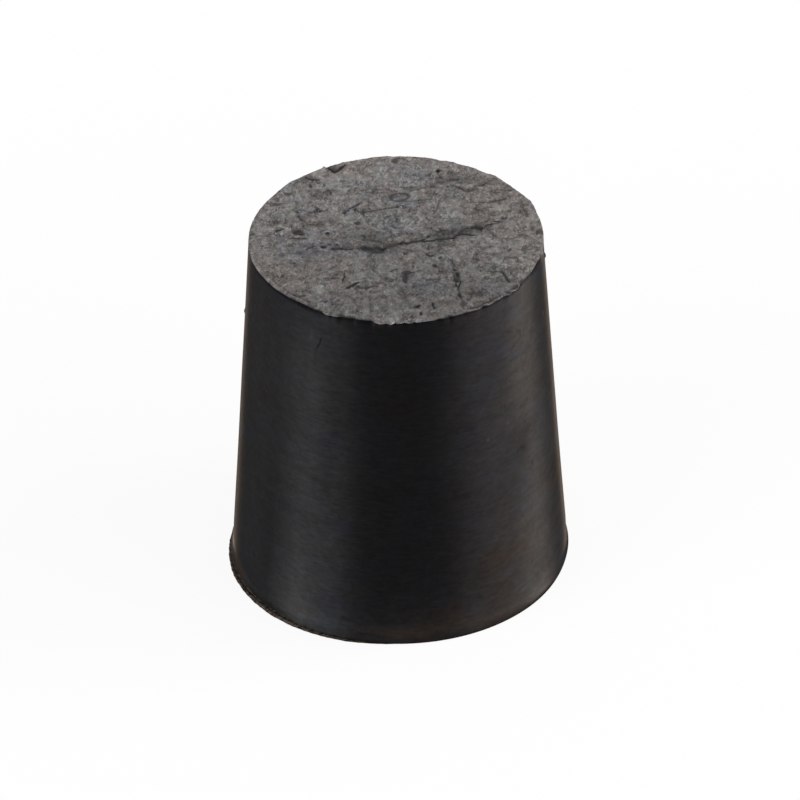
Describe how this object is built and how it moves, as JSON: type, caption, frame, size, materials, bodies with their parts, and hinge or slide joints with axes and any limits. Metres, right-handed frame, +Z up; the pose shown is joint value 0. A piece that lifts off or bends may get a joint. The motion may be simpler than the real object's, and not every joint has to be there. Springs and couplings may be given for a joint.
{
  "type": "rubber stopper",
  "caption": "Solid tapered stopper moulded in one piece of black rubber, with a rough worn narrow face and a thin moulding lip round the wide end.",
  "frame": {"origin": "centre of the wide end, on the surface the stopper stands on", "axes": "+Z up along the stopper's axis, from the wide end to the narrow end; the fold line worn into the narrow face runs roughly along X, and the gouge beside it runs out to the rim near -Y"},
  "size_m": [0.0295, 0.0294, 0.032],
  "materials": {
    "rubber": "near-black moulded rubber, satin on the tapered side with fine marks running round it; the narrow face is cut or ground to a rough dusty mid grey"
  },
  "bodies": {
    "root": {"stopper": "rubber"}
  },
  "joints": []
}
